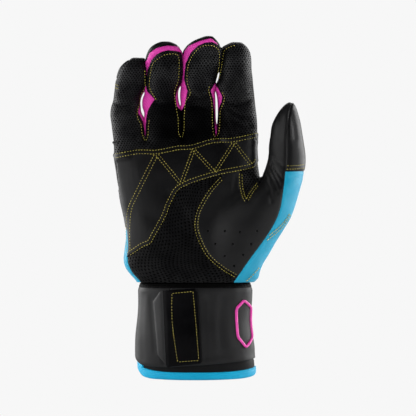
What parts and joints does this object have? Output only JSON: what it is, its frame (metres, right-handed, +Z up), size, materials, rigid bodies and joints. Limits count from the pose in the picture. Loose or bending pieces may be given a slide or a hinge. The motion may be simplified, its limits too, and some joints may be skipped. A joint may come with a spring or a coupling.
{
  "type": "batting glove",
  "caption": "Right-hand batting glove with a long cuff: leather palm, stretch back, gusseted fingers that flex, and a wrist strap that peels open.",
  "frame": {"origin": "middle of the bottom of the box round the glove, standing on its cuff hem", "axes": "+Z up towards the fingertips, -Y out of the palm, +X towards the thumb"},
  "size_m": [0.1518, 0.0546, 0.269],
  "materials": {
    "grain_leather": "embossed goatskin, semi-matte",
    "smooth_leather": "smooth leather, satin",
    "blue_stretch": "fine stretch knit, matte",
    "black_stretch": "ribbed elastic, matte",
    "pink_stretch": "fine stretch knit, matte",
    "neoprene": "laminated neoprene, matte",
    "blue_binding": "folded binding tape, satin",
    "hook_and_loop": "hook and loop pile",
    "pink_piping": "moulded soft piping, satin"
  },
  "bodies": {
    "hand": {"palm_leather": "grain_leather", "palm_overlay": "smooth_leather", "thumb_panel": "smooth_leather", "web_patch": "smooth_leather", "thumb_side_panel": "blue_stretch", "back_hand_panel": "blue_stretch", "knuckle_flex_panel": "black_stretch", "wrist_elastic": "black_stretch", "cuff_sleeve": "neoprene", "hem_binding": "blue_binding", "strap_base": "neoprene", "loop_patch": "hook_and_loop"},
    "strap": {"strap_flap": "neoprene", "hook_patch": "hook_and_loop", "pull_tab": "smooth_leather", "strap_piping": "pink_piping"},
    "little": {"little_front_leather": "grain_leather", "little_gusset": "pink_stretch", "little_back_leather": "grain_leather"},
    "ring": {"ring_front_leather": "grain_leather", "ring_gusset": "pink_stretch", "ring_back_leather": "grain_leather"},
    "middle": {"middle_front_leather": "grain_leather", "middle_gusset": "pink_stretch", "middle_back_leather": "grain_leather"},
    "index": {"index_front_leather": "grain_leather", "index_gusset": "pink_stretch", "index_back_leather": "grain_leather"},
    "thumb": {"thumb_front_leather": "smooth_leather", "thumb_back_leather": "grain_leather"}
  },
  "joints": [
    {"name": "strap_peel", "type": "hinge", "parent": "hand", "child": "strap", "pos_m": [0.03528, 0.00325, 0.04], "axis": [0, 0, 1], "range_deg": [0, 140]},
    {"name": "little_flex", "type": "hinge", "parent": "hand", "child": "little", "pos_m": [-0.0629, -0.0095, 0.19], "axis": [1, 0, 0], "range_deg": [0, 70], "stiffness_Nm_per_rad": 0.05},
    {"name": "ring_flex", "type": "hinge", "parent": "hand", "child": "ring", "pos_m": [-0.0363, -0.00975, 0.19], "axis": [1, 0, 0], "range_deg": [0, 70], "stiffness_Nm_per_rad": 0.05},
    {"name": "middle_flex", "type": "hinge", "parent": "hand", "child": "middle", "pos_m": [-0.0083, -0.00975, 0.19], "axis": [1, 0, 0], "range_deg": [0, 70], "stiffness_Nm_per_rad": 0.05},
    {"name": "index_flex", "type": "hinge", "parent": "hand", "child": "index", "pos_m": [0.0222, -0.00975, 0.19], "axis": [1, 0, 0], "range_deg": [0, 70], "stiffness_Nm_per_rad": 0.05},
    {"name": "thumb_flex", "type": "hinge", "parent": "hand", "child": "thumb", "pos_m": [0.0575, -0.0204, 0.158], "axis": [1, 0, 0], "range_deg": [0, 50], "stiffness_Nm_per_rad": 0.05}
  ]
}
